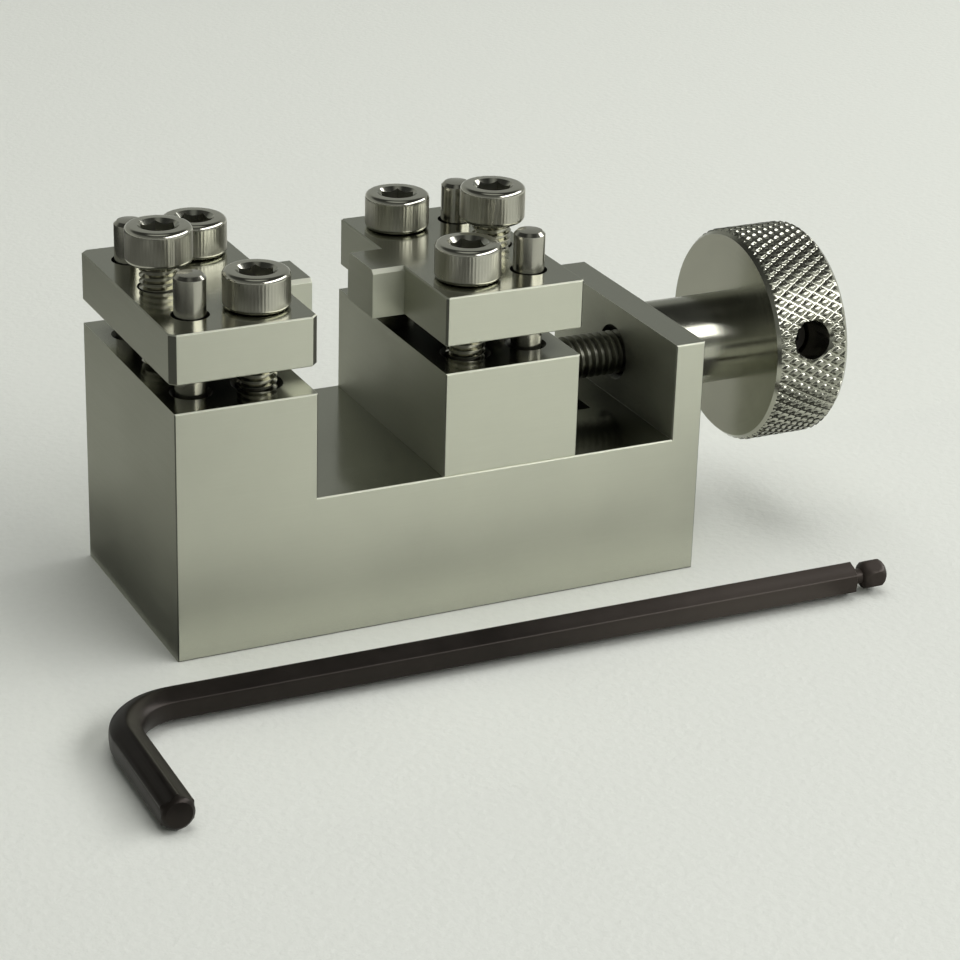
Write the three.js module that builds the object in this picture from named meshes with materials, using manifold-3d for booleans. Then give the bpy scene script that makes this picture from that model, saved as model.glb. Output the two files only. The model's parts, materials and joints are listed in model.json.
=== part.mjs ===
// A small machined vice for metal watch bracelets, with its hex key. Millimetres, +Z up.
// The origin is the centre of the block's underside. The spindle runs along +X, and the
// fixed jaw is at the -X end. Screws and spindle are drawn without their threads.

import * as THREE from 'three';
import { mergeVertices } from 'three/addons/utils/BufferGeometryUtils.js';
import Module from 'manifold-3d';

const wasm = await Module();
wasm.setup();

// Block: fixed jaw, floor and end wall in one piece
const blockLength = 72.7;
const blockWidth = 34;
const blockHeight = 33;
const jawHeight = 13.9;
const fixedJawLength = 18.5;
const endWallThickness = 4.2;
const endWallDrop = 0.8;
const edgeBevel = 0.15;

// Sliding jaw, and how far it stands open
const jawOpening = 17.16;
const slidingJawLength = 18.74;

// Guide rib under the sliding jaw, its slots in the floor and the plate that holds it down
const ribLength = 9;
const ribWidth = 6;
const underSlotDepth = 10;
const holdDownLength = 12;
const holdDownWidth = 10;
const holdDownThickness = 4;
const holdDownLift = 0.3;
const holdDownScrewSpacing = 5.8;
const holdDownScrewRadius = 1.5;
const holdDownScrewLength = 12;
const holdDownHeadRadius = 2.65;
const holdDownHeadHeight = 2.8;
const holdDownSocketAcrossFlats = 2.5;

// Clamp plates
const plateLength = 19;
const plateWidth = 33.4;
const plateThickness = 6.4;
const plateLift = 3.6;
const plateOverhang = 0.1;
const plateBevel = 0.15;
const leftPlateCornerCut = 0.8;
const rightPlateCornerCut = 0.3;
const tongueLength = 4.35;
const tongueWidth = 7.9;
const tongueChamfer = 0.5;

// Places on a plate, from its inner edge and from the block's centre line
const clampScrewInset = 5.65;
const pinRowInset = 14.2;
const pairOffset = 10.8;

// Socket head screws of the clamps
const screwRadius = 2.5;
const screwHeadRadius = 4.2;
const screwHeadHeight = 4.7;
const screwHeadRound = 0.6;
const screwHeadSeatRound = 0.3;
const screwTipChamfer = 0.5;
const screwSocketDepth = 2.5;
const clampScrewLength = 16;
const jackScrewLength = 13.3;

// Guide pins
const pinRadius = 2;
const pinLength = 24;
const pinAbovePlate = 5.2;
const pinChamfer = 0.4;

// Spindle and its retaining screw
const spindleBelowTop = 7.6;
const spindleRadius = 2.95;
const spindleChamfer = 0.5;
const noseRadius = 2.4;
const noseLength = 12;
const grooveRadius = 1.6;
const grooveLength = 2.6;
const spindleMouthRadius = 3.75;
const retainingScrewRadius = 1.5;
const retainingShoulderLift = 0.6;
const retainingScrewDepth = 0.6;
const retainingPointRadius = 0.95;
const retainingSocketAcrossFlats = 1.5;
const retainingSocketDepth = 1.4;

// Knob
const hubGap = 0.8;
const hubRadius = 6.06;
const hubLength = 12.4;
const hubEndChamfer = 0.3;
const knobRadius = 14.6;
const knobThickness = 10.9;
const knobRimChamfer = 0.7;
const knobRimChamferLength = 1.1;
const knobHoleRadius = 2.6;
const knobHoleInset = 5.5;
const knobHoleLift = THREE.MathUtils.degToRad(13.5);
const grubScrewRadius = 2.3;
const grubScrewLength = 5;
const grubSocketAcrossFlats = 2.5;
const grubSocketDepth = 2.2;
const spindleInKnob = 21;

// Hex key
const keyAcrossFlats = 4;
const keyLongArm = 107.1;
const keyShortArm = 25.1;
const keyBendRadius = 8;
const keyAheadOfBlock = 13.66;
const keyLeftOfBlock = 13.7;
const keyTurn = THREE.MathUtils.degToRad(-0.75);
const keyBallWidth = 3.9;
const keyBallLength = 4.9;
const keyBallEndRadius = 1;
const keyNeckRadius = 1.55;
const keyNeckLength = 1.1;
const keyEndChamfer = 0.35;

// Clearances
const fitClearance = 0.15;
const runClearance = 0.25;
const plateClearance = 0.25;
const pinClearance = 0.4;
const socketClearance = 0.05;
const gapClearance = 0.3;
const mouthChamfer = 0.5;

// Fineness of the round faces, and the overrun of cuts
const hexSides = 6;
const roundSteps = 32;
const knobSteps = 64;
const arcSteps = 3;
const ballSteps = 6;
const keyPathSteps = 64;
const overrun = 1;

// Places worked out from the sizes
const floorHeight = blockHeight - jawHeight;
const spindleHeight = blockHeight - spindleBelowTop;
const blockFront = -blockWidth / 2;
const blockLeft = -blockLength / 2;
const blockRight = blockLength / 2;
const fixedJawFace = blockLeft + fixedJawLength;
const slidingJawLeft = fixedJawFace + jawOpening;
const slidingJawRight = slidingJawLeft + slidingJawLength;
const slidingJawMiddle = (slidingJawLeft + slidingJawRight) / 2;
const endWallFace = blockRight - endWallThickness;
const jawTravelIn = hubGap;
const jawTravelOut = endWallFace - slidingJawRight;
const plateBottom = blockHeight + plateLift;
const plateTop = plateBottom + plateThickness;
const pinTop = plateTop + pinAbovePlate;
const pinBottom = pinTop - pinLength;
const clampHoleBottom = plateTop - clampScrewLength - plateLift - runClearance;
const webBottom = underSlotDepth;
const holdDownTop = webBottom - holdDownLift;
const holdDownBottom = holdDownTop - holdDownThickness;
const spindleStart = slidingJawRight + gapClearance;
const noseStart = slidingJawRight - noseLength;
const hubStart = blockRight + hubGap;
const knobStart = hubStart + hubLength;
const spindleEnd = hubStart + spindleInKnob;
const screwSocketAcrossFlats = keyAcrossFlats + 2 * socketClearance;
const keyCornerRadius = hexCornerRadius(keyAcrossFlats);
const keyCornerX = blockLeft - keyLeftOfBlock;
const keyCornerY = blockFront - keyAheadOfBlock;

const clamps = {
  left: { side: -1, innerEdge: fixedJawFace + plateOverhang, cornerCut: leftPlateCornerCut },
  right: { side: 1, innerEdge: slidingJawLeft - plateOverhang, cornerCut: rightPlateCornerCut },
};

// Solids and meshes

function solidOf(geometry) {
  const bare = geometry.clone();
  bare.deleteAttribute('normal');
  bare.deleteAttribute('uv');
  const merged = mergeVertices(bare);
  const corners = merged.index.array;
  const triangles = [];
  for (let i = 0; i < corners.length; i += 3) {
    const [a, b, c] = [corners[i], corners[i + 1], corners[i + 2]];
    if (a !== b && b !== c && c !== a) triangles.push(a, b, c);
  }
  return new wasm.Manifold(new wasm.Mesh({
    numProp: 3,
    vertProperties: Float32Array.from(merged.attributes.position.array),
    triVerts: Uint32Array.from(triangles),
  }));
}

function geometryOf(solid) {
  const mesh = solid.getMesh();
  const geometry = new THREE.BufferGeometry();
  geometry.setAttribute('position', new THREE.BufferAttribute(mesh.vertProperties, mesh.numProp));
  geometry.setIndex(new THREE.BufferAttribute(mesh.triVerts, 1));
  const flat = geometry.toNonIndexed();
  flat.computeVertexNormals();
  return flat;
}

function cut(body, ...tools) {
  return tools.reduce((rest, tool) => rest.subtract(solidOf(tool)), body);
}

function join(...geometries) {
  return geometries.map(solidOf).reduce((whole, next) => whole.add(next));
}

function metal(color, roughness) {
  return new THREE.MeshStandardMaterial({ color, roughness, metalness: 1 });
}

const groundSteel = () => metal(0xb9bbae, 0.35);
const brightSteel = () => metal(0xc4c3b8, 0.18);
const spindleSteel = () => metal(0x8f8d84, 0.32);
const blackOxide = () => metal(0x2e2b29, 0.42);

function piece(name, solid, material) {
  const mesh = new THREE.Mesh(geometryOf(solid), material);
  mesh.name = name;
  return mesh;
}

function placed(object, x, y, z) {
  object.position.set(x, y, z);
  return object;
}

// Shapes

function hexCornerRadius(acrossFlats) {
  return acrossFlats / (2 * Math.cos(Math.PI / hexSides));
}

function box(x0, x1, y0, y1, z0, z1) {
  const geometry = new THREE.BoxGeometry(x1 - x0, y1 - y0, z1 - z0);
  return geometry.translate((x0 + x1) / 2, (y0 + y1) / 2, (z0 + z1) / 2);
}

// A flat slab on an outline, rising from z = 0, with the edges of both faces bevelled
function slab(points, thickness, bevel) {
  const geometry = new THREE.ExtrudeGeometry(new THREE.Shape(points), {
    depth: thickness - 2 * bevel,
    bevelThickness: bevel,
    bevelSize: bevel,
    bevelOffset: -bevel,
    bevelSegments: 1,
  });
  return geometry.translate(0, 0, bevel);
}

// A slab whose outline is drawn in X and Z and which fills the block's width
function crossBlock(points) {
  return slab(points, blockWidth, edgeBevel).rotateX(Math.PI / 2).translate(0, blockWidth / 2, 0);
}

// A turned body about Z, from pairs of radius and height, lowest first
function turned(profile, steps = roundSteps) {
  const points = profile.map(([radius, height]) => new THREE.Vector2(radius, height));
  return new THREE.LatheGeometry(points, steps).rotateX(Math.PI / 2);
}

function turnedAlongX(profile, steps = roundSteps) {
  return turned(profile, steps).rotateY(Math.PI / 2);
}

function rod(radius, bottom, top) {
  return turned([[0, bottom], [radius, bottom], [radius, top], [0, top]]);
}

function hexRod(acrossFlats, bottom, top) {
  const radius = hexCornerRadius(acrossFlats);
  const prism = new THREE.CylinderGeometry(radius, radius, top - bottom, hexSides);
  return prism.rotateX(Math.PI / 2).translate(0, 0, (top + bottom) / 2);
}

// The space of a drilled hole that opens upwards with a chamfered mouth
function hole(x, y, radius, bottom, top) {
  const mouth = radius + mouthChamfer;
  const profile = [[0, bottom], [radius, bottom], [radius, top - mouthChamfer], [mouth, top],
    [mouth, top + overrun], [0, top + overrun]];
  return turned(profile).translate(x, y, 0);
}

// Points of a quarter circle, turned from one angle to another
function arc(centreRadius, centreHeight, radius, from, to, steps = arcSteps) {
  return Array.from({ length: steps + 1 }, (_, i) => {
    const angle = from + (to - from) * i / steps;
    return [centreRadius + radius * Math.cos(angle), centreHeight + radius * Math.sin(angle)];
  });
}

// Block and sliding jaw

function clampHoles({ side, innerEdge }) {
  const screwX = innerEdge + side * clampScrewInset;
  const pinX = innerEdge + side * pinRowInset;
  return [-pairOffset, pairOffset].flatMap((y) => [
    hole(screwX, y, screwRadius + runClearance, clampHoleBottom, blockHeight),
    hole(pinX, y, pinRadius + fitClearance, pinBottom, blockHeight),
  ]);
}

function guideSlots() {
  const ribReach = ribLength / 2 + runClearance;
  const plateReach = holdDownLength / 2 + runClearance;
  const ribHalf = ribWidth / 2 + fitClearance;
  const plateHalf = holdDownWidth / 2 + gapClearance;
  const low = slidingJawMiddle - jawTravelIn;
  const high = slidingJawMiddle + jawTravelOut;
  return [
    box(low - ribReach, high + ribReach, -ribHalf, ribHalf, -overrun, floorHeight + overrun),
    box(low - plateReach, high + plateReach, -plateHalf, plateHalf, -overrun, webBottom),
  ];
}

function spindleHole() {
  const radius = spindleRadius + runClearance;
  const depth = spindleMouthRadius - radius;
  const profile = [[0, endWallFace - overrun], [spindleMouthRadius, endWallFace - overrun],
    [spindleMouthRadius, endWallFace], [radius, endWallFace + depth],
    [radius, blockRight + overrun], [0, blockRight + overrun]];
  return turnedAlongX(profile).translate(0, 0, spindleHeight);
}

function baseBlock() {
  const endWallTop = blockHeight - endWallDrop;
  const outline = [[blockLeft, 0], [blockRight, 0], [blockRight, endWallTop],
    [endWallFace, endWallTop], [endWallFace, floorHeight], [fixedJawFace, floorHeight],
    [fixedJawFace, blockHeight], [blockLeft, blockHeight]];
  const body = crossBlock(outline.map(([x, z]) => new THREE.Vector2(x, z)));
  const solid = cut(solidOf(body), ...guideSlots(), ...clampHoles(clamps.left), spindleHole());
  return piece('base_block', solid, groundSteel());
}

function noseBore() {
  const bottom = noseStart - gapClearance;
  const bore = turnedAlongX([[0, bottom], [noseRadius + runClearance, bottom],
    [noseRadius + runClearance, slidingJawRight + overrun], [0, slidingJawRight + overrun]]);
  return bore.translate(0, 0, spindleHeight);
}

function holdDownScrewPlaces() {
  return [-1, 1].map((end) => slidingJawMiddle + end * holdDownScrewSpacing / 2);
}

function slidingJaw() {
  const outline = [[slidingJawLeft, floorHeight], [slidingJawRight, floorHeight],
    [slidingJawRight, blockHeight], [slidingJawLeft, blockHeight]];
  const body = crossBlock(outline.map(([x, z]) => new THREE.Vector2(x, z)));
  const rib = box(slidingJawMiddle - ribLength / 2, slidingJawMiddle + ribLength / 2,
    -ribWidth / 2, ribWidth / 2, holdDownTop, floorHeight + overrun);
  const screwHoleTop = holdDownBottom + holdDownScrewLength + gapClearance;
  const screwHoles = holdDownScrewPlaces().map((x) => (
    rod(holdDownScrewRadius + fitClearance, holdDownTop - overrun, screwHoleTop).translate(x, 0, 0)));
  const retainingHole = hole(slidingJawMiddle, 0, retainingScrewRadius + fitClearance,
    spindleHeight, blockHeight);
  const solid = cut(join(body, rib), ...clampHoles(clamps.right), ...screwHoles, noseBore(),
    retainingHole);
  return piece('sliding_jaw', solid, groundSteel());
}

// Clamp plates and what goes through them

// The tongue is drawn in Y and Z, with its upper edges chamfered, and runs along X
function tongue(side, middle) {
  const front = middle - tongueWidth / 2;
  const back = middle + tongueWidth / 2;
  const edge = plateThickness - tongueChamfer;
  const outline = [[front, 0], [back, 0], [back, edge], [back - tongueChamfer, plateThickness],
    [front + tongueChamfer, plateThickness], [front, edge]];
  const geometry = new THREE.ExtrudeGeometry(
    new THREE.Shape(outline.map(([y, z]) => new THREE.Vector2(y, z))),
    { depth: tongueLength + overrun, bevelEnabled: false },
  );
  const start = side > 0 ? -tongueLength : -overrun;
  return geometry.rotateX(Math.PI / 2).rotateZ(Math.PI / 2).translate(start, 0, 0);
}

function clampPlate(name, { side, innerEdge, cornerCut }) {
  const front = blockFront;
  const back = front + plateWidth;
  const outline = [[0, front + cornerCut], [cornerCut, front], [plateLength - cornerCut, front],
    [plateLength, front + cornerCut], [plateLength, back - cornerCut],
    [plateLength - cornerCut, back], [cornerCut, back], [0, back - cornerCut]];
  const points = outline.map(([inset, y]) => new THREE.Vector2(side * inset, y));
  const through = (inset, y, radius) => (
    rod(radius, -overrun, plateThickness + overrun).translate(side * inset, y, 0));
  const body = join(slab(points, plateThickness, plateBevel), tongue(side, (front + back) / 2));
  const solid = cut(body,
    through(clampScrewInset, -pairOffset, screwRadius + plateClearance),
    through(clampScrewInset, pairOffset, screwRadius + plateClearance),
    through(pinRowInset, -pairOffset, pinRadius + pinClearance),
    through(pinRowInset, pairOffset, pinRadius + pinClearance),
    through(pinRowInset, 0, screwRadius + runClearance));
  return placed(piece(name, solid, groundSteel()), innerEdge, 0, plateBottom);
}

// A socket head screw standing on z = 0 by the underside of its head
function socketHeadScrew(name, size, material) {
  const { radius, length, headRadius, headHeight, seatRound, headRound, chamfer } = size;
  const profile = [[0, -length], [radius - chamfer, -length], [radius, chamfer - length],
    [radius, 0],
    ...arc(headRadius - seatRound, seatRound, seatRound, -Math.PI / 2, 0),
    ...arc(headRadius - headRound, headHeight - headRound, headRound, 0, Math.PI / 2),
    [0, headHeight]];
  const socket = hexRod(size.socketAcrossFlats, headHeight - size.socketDepth,
    headHeight + overrun);
  return piece(name, cut(solidOf(turned(profile)), socket), material);
}

function clampScrewSize(length) {
  return {
    radius: screwRadius,
    length,
    headRadius: screwHeadRadius,
    headHeight: screwHeadHeight,
    seatRound: screwHeadSeatRound,
    headRound: screwHeadRound,
    chamfer: screwTipChamfer,
    socketAcrossFlats: screwSocketAcrossFlats,
    socketDepth: screwSocketDepth,
  };
}

function guidePin(name) {
  const inner = pinRadius - pinChamfer;
  const profile = [[0, 0], [inner, 0], [pinRadius, pinChamfer],
    [pinRadius, pinLength - pinChamfer], [inner, pinLength], [0, pinLength]];
  return piece(name, solidOf(turned(profile)), brightSteel());
}

function clampSet(name, clamp) {
  const set = new THREE.Group();
  const screwX = clamp.innerEdge + clamp.side * clampScrewInset;
  const pinX = clamp.innerEdge + clamp.side * pinRowInset;
  set.add(clampPlate(`${name}_clamp_plate`, clamp));
  for (const [place, y] of [['front', -pairOffset], ['back', pairOffset]]) {
    const screw = socketHeadScrew(`${name}_clamp_screw_${place}`,
      clampScrewSize(clampScrewLength), brightSteel());
    set.add(placed(screw, screwX, y, plateTop));
    set.add(placed(guidePin(`${name}_guide_pin_${place}`), pinX, y, pinBottom));
  }
  const jack = socketHeadScrew(`${name}_jack_screw`, clampScrewSize(jackScrewLength),
    brightSteel());
  set.add(placed(jack, pinX, 0, blockHeight + jackScrewLength));
  return set;
}

// Spindle, its retaining screw and the knob

function spindle() {
  const grooveStart = slidingJawMiddle - grooveLength / 2;
  const grooveEnd = slidingJawMiddle + grooveLength / 2;
  const profile = [[0, noseStart], [noseRadius - spindleChamfer, noseStart],
    [noseRadius, noseStart + spindleChamfer], [noseRadius, grooveStart],
    [grooveRadius, grooveStart], [grooveRadius, grooveEnd], [noseRadius, grooveEnd],
    [noseRadius, spindleStart], [spindleRadius, spindleStart],
    [spindleRadius, spindleEnd - spindleChamfer],
    [spindleRadius - spindleChamfer, spindleEnd], [0, spindleEnd]];
  const mesh = piece('spindle', solidOf(turnedAlongX(profile)), spindleSteel());
  return placed(mesh, 0, 0, spindleHeight);
}

function retainingScrew() {
  const top = blockHeight - retainingScrewDepth;
  const shoulder = spindleHeight + noseRadius + retainingShoulderLift;
  const point = spindleHeight + grooveRadius + gapClearance;
  const body = turned([[0, point], [retainingPointRadius, point],
    [retainingPointRadius, shoulder], [retainingScrewRadius, shoulder],
    [retainingScrewRadius, top], [0, top]]);
  const socket = hexRod(retainingSocketAcrossFlats, top - retainingSocketDepth, top + overrun);
  const mesh = piece('spindle_retaining_screw', cut(solidOf(body), socket), spindleSteel());
  return placed(mesh, slidingJawMiddle, 0, 0);
}

// A body drawn along Z from the knob's axis outwards, turned into the radial hole
function alongKnobHole(geometry) {
  return geometry.rotateX(Math.PI / 2 - knobHoleLift);
}

function knob() {
  const face = hubLength;
  const back = face + knobThickness;
  const rim = knobRadius - knobRimChamfer;
  const bore = spindleRadius + fitClearance;
  const boreEnd = spindleEnd - hubStart + gapClearance;
  const profile = [[0, 0], [hubRadius - hubEndChamfer, 0], [hubRadius, hubEndChamfer],
    [hubRadius, face], [rim, face], [knobRadius, face + knobRimChamferLength],
    [knobRadius, back - knobRimChamferLength], [rim, back], [0, back]];
  const boreSpace = turnedAlongX([[0, -overrun], [bore, -overrun], [bore, boreEnd], [0, boreEnd]]);
  const holeX = face + knobHoleInset;
  const radialHole = alongKnobHole(rod(knobHoleRadius, 0, knobRadius + overrun));
  const solid = cut(solidOf(turnedAlongX(profile, knobSteps)), boreSpace,
    radialHole.translate(holeX, 0, 0));
  return placed(piece('knob', solid, groundSteel()), hubStart, 0, spindleHeight);
}

function knobGrubScrew() {
  const inner = spindleRadius + gapClearance;
  const outer = inner + grubScrewLength;
  const socket = hexRod(grubSocketAcrossFlats, outer - grubSocketDepth, outer + overrun);
  const solid = cut(solidOf(rod(grubScrewRadius, inner, outer)), socket);
  const mesh = piece('knob_grub_screw', solid, blackOxide());
  mesh.rotation.x = Math.PI / 2 - knobHoleLift;
  return placed(mesh, knobStart + knobHoleInset, 0, spindleHeight);
}

// Hold-down plate under the floor

function holdDownPlate() {
  const body = box(-holdDownLength / 2, holdDownLength / 2, -holdDownWidth / 2, holdDownWidth / 2,
    0, holdDownThickness);
  const holes = [-1, 1].map((end) => (
    rod(holdDownScrewRadius + plateClearance, -overrun, holdDownThickness + overrun)
      .translate(end * holdDownScrewSpacing / 2, 0, 0)));
  const mesh = piece('hold_down_plate', cut(solidOf(body), ...holes), groundSteel());
  return placed(mesh, slidingJawMiddle, 0, holdDownBottom);
}

function holdDownScrew(name, x) {
  const size = {
    radius: holdDownScrewRadius,
    length: holdDownScrewLength,
    headRadius: holdDownHeadRadius,
    headHeight: holdDownHeadHeight,
    seatRound: screwHeadSeatRound,
    headRound: screwHeadSeatRound,
    chamfer: screwHeadSeatRound,
    socketAcrossFlats: holdDownSocketAcrossFlats,
    socketDepth: holdDownHeadHeight / 2,
  };
  const screw = socketHeadScrew(name, size, blackOxide());
  screw.rotation.x = Math.PI;
  return placed(screw, x, 0, holdDownBottom);
}

// Hex key, lying on one of its edges

// The quarter circle between the key's two arms
class KeyBend extends THREE.Curve {
  getPoint(share) {
    const angle = Math.PI - share * Math.PI / 2;
    const x = keyBendRadius + keyBendRadius * Math.cos(angle);
    const y = keyBendRadius * Math.sin(angle) - keyBendRadius;
    return new THREE.Vector3(x, y, 0);
  }
}

function keyPath() {
  const path = new THREE.CurvePath();
  const shortEnd = new THREE.Vector3(0, -keyShortArm, 0);
  const longEnd = new THREE.Vector3(keyLongArm - keyBallLength - keyNeckLength, 0, 0);
  const bend = new KeyBend();
  path.add(new THREE.LineCurve3(shortEnd, bend.getPoint(0)));
  path.add(bend);
  path.add(new THREE.LineCurve3(bend.getPoint(1), longEnd));
  return path;
}

function keyBall(start) {
  const radius = hexCornerRadius(keyBallWidth);
  const centre = start + keyBallLength / 2;
  const reach = Math.acos(keyBallEndRadius / radius);
  const stretch = keyBallLength / 2 / (radius * Math.sin(reach));
  const ballArc = arc(0, 0, radius, -reach, reach, ballSteps * 2)
    .map(([ballRadius, height]) => [ballRadius, centre + height * stretch]);
  const ball = turnedAlongX([[0, start], ...ballArc, [0, start + keyBallLength]]);
  const prism = hexRod(keyBallWidth, start - overrun, start + keyBallLength + overrun);
  return solidOf(ball).intersect(solidOf(prism.rotateY(Math.PI / 2)));
}

function hexKey() {
  const corners = Array.from({ length: hexSides }, (_, i) => {
    const angle = 2 * Math.PI * i / hexSides;
    return new THREE.Vector2(keyCornerRadius * Math.cos(angle), keyCornerRadius * Math.sin(angle));
  });
  const bar = new THREE.ExtrudeGeometry(new THREE.Shape(corners), {
    extrudePath: keyPath(),
    steps: keyPathSteps,
  });
  const ballStart = keyLongArm - keyBallLength;
  const neck = turnedAlongX([[0, ballStart - keyNeckLength - keyEndChamfer],
    [keyNeckRadius, ballStart - keyNeckLength - keyEndChamfer],
    [keyNeckRadius, ballStart + keyEndChamfer], [0, ballStart + keyEndChamfer]]);
  const solid = join(bar, neck).add(keyBall(ballStart));
  const mesh = piece('hex_key', solid, blackOxide());
  mesh.rotation.z = keyTurn;
  return placed(mesh, keyCornerX, keyCornerY, keyCornerRadius);
}

const vice = new THREE.Group();
vice.add(baseBlock());
vice.add(slidingJaw());
vice.add(holdDownPlate());
holdDownScrewPlaces().forEach((x, i) => {
  vice.add(holdDownScrew(['hold_down_screw_inner', 'hold_down_screw_outer'][i], x));
});
vice.add(clampSet('left', clamps.left));
vice.add(clampSet('right', clamps.right));
vice.add(spindle());
vice.add(retainingScrew());
vice.add(knob());
vice.add(knobGrubScrew());
vice.add(hexKey());

export default vice;
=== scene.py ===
import json
import math

import bmesh
import bpy
import numpy as np
from mathutils import Matrix, Vector


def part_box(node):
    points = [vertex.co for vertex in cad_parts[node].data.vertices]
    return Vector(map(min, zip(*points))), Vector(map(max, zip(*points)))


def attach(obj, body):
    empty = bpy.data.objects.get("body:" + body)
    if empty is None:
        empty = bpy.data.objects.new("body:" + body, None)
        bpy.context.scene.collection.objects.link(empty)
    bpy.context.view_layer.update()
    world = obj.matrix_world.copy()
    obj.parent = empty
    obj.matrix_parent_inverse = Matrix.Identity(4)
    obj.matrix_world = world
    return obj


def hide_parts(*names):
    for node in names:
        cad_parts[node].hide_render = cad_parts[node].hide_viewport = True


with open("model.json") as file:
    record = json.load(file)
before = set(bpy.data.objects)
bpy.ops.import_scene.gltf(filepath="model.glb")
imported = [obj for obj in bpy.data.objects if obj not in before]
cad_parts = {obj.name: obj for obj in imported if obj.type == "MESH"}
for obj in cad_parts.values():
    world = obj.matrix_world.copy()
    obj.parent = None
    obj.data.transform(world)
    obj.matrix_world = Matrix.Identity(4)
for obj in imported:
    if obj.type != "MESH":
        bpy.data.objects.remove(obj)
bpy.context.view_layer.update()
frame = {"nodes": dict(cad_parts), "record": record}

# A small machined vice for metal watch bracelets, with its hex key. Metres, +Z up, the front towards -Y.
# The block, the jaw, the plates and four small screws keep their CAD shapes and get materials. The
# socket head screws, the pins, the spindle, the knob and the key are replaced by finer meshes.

MM = 0.001

# Camera. The sensor and the lens are in millimetres, the shift is in pixels of the square frame.
CAMERA_PLACE = Vector((-142.604, -313.657, 161.4)) * MM
CAMERA_AZIMUTH = math.radians(-26.355)
CAMERA_ELEVATION = math.radians(23.248)
CAMERA_ROLL = math.radians(1.713)
CAMERA_SENSOR = 36
CAMERA_LENS = 106.786
FRAME_PIXELS = 960
CAMERA_SHIFT_PIXELS = -9

# Threads. The rows of one pitch are pairs: share of the pitch, share of the thread's depth.
THREAD_SHARES = [(0, 0), (0.125, 0), (0.28, 0.5), (0.4375, 1), (0.6875, 1), (0.84, 0.5)]
THREAD_DEPTH_SHARE = 0.6134
# Turns of rows beyond the thread's length, so that the last rows lie on its end
THREAD_SPARE_TURNS = 3

# Socket head screws
SCREW_RADIUS = 2.5 * MM
SCREW_PITCH = 0.8 * MM
SCREW_TIP_RADIUS = 1.9 * MM
HEAD_RADIUS = 4.2 * MM
HEAD_HEIGHT = 4.7 * MM
HEAD_SEAT_ROUND = 0.65 * MM
HEAD_ROUND = 0.65 * MM
FLUTES = 60
FLUTE_SHARES = [0, 0.5, 1, 0.5]
FLUTE_DEPTH = 0.035 * MM
FLUTE_RUN_OUT = 0.12 * MM
SOCKET_ACROSS_FLATS = 4.1 * MM
SOCKET_DEPTH = 2.5 * MM
SOCKET_LEAD_IN = 0.25 * MM
SOCKET_CONE_DEPTH = 0.9 * MM
# Degrees that each socket is turned by
SOCKET_TURNS = {
    "left_clamp_screw_front": 12,
    "left_clamp_screw_back": 40,
    "right_clamp_screw_front": 25,
    "right_clamp_screw_back": 5,
    "left_jack_screw": 20,
    "right_jack_screw": 50,
}

# Guide pins
PIN_CHAMFER = 0.45 * MM
# The chamfer's own edges are broken: the length and the depth of that
PIN_EDGE = 0.036 * MM
PIN_EDGE_INSET = 0.009 * MM

# Spindle
SPINDLE_PITCH = 1.0 * MM
SPINDLE_RADIUS = 2.95 * MM
SPINDLE_NOSE_RADIUS = 2.4 * MM
SPINDLE_NOSE_CHAMFER = 0.3 * MM
SPINDLE_GROOVE_RADIUS = 1.6 * MM
SPINDLE_GROOVE_LENGTH = 2.6 * MM
SPINDLE_NOSE_LENGTH = 12.3 * MM
SPINDLE_END_RADIUS = 2.3 * MM

# Knob
HUB_RADIUS = 6.06 * MM
HUB_LENGTH = 12.4 * MM
HUB_CHAMFER = 0.3 * MM
KNOB_CHAMFER = 0.7 * MM
KNOB_CHAMFER_LENGTH = 0.8 * MM
KNOB_BORE_RADIUS = 3.1 * MM
KNOB_BORE_DEPTH = 21.3 * MM
KNURLS_ROUND = 60
KNURL_STEPS = 12
KNURL_ROWS = 50
# Shares of the knurls' spacing: half of a groove's floor, and its wall
KNURL_FLOOR_SHARE = 0.05
KNURL_WALL_SHARE = 0.25
KNURL_DEPTH = 0.3 * MM
KNOB_HOLE_RADIUS = 2.6 * MM
KNOB_HOLE_INSET = 5.5 * MM
KNOB_HOLE_LIFT = math.radians(13.5)
KNOB_HOLE_CHAMFER = 0.45 * MM
KNOB_HOLE_OVERRUN = 1 * MM

# Hex key
KEY_ACROSS_FLATS = 4 * MM
# Places of the section's points on each side, as shares of the way from its middle to its corner
KEY_SIDE_SHARES = [-0.94, -0.65, -0.33, 0, 0.33, 0.65, 0.94, 1]
KEY_CORNER_SHARE = 0.983
KEY_LONG_ARM = 106.6 * MM
KEY_SHORT_ARM = 25.1 * MM
KEY_BEND_RADIUS = 8 * MM
KEY_BEND_STEPS = 28
KEY_BEND_ROUND_SHARE = 0.75
KEY_LEFT_OF_BLOCK = 13.7 * MM
KEY_AHEAD_OF_BLOCK = 13.66 * MM
KEY_TURN = math.radians(-0.75)
KEY_END_CHAMFER = 0.75 * MM
KEY_END_CUT = 0.4 * MM
# The rounded short end as pairs: share of the chamfer's length, share of the cut into the flats
KEY_END_SHARES = [(0, 1), (1 / 4, 1 / 3), (1 / 2, 0)]
KEY_NECK_RADIUS = 1 * MM
KEY_NECK_LENGTH = 1.5 * MM
KEY_NECK_SLOPE = 0.1 * MM
KEY_BALL_WIDTH = 3.55 * MM
KEY_BALL_LENGTH = 3.5 * MM
# The ball's outline is a superellipse of this power, cut off at this share of its half length
KEY_BALL_POWER = 2.6
KEY_BALL_END_PLACE = 0.93
KEY_BALL_STEPS = 14

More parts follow.
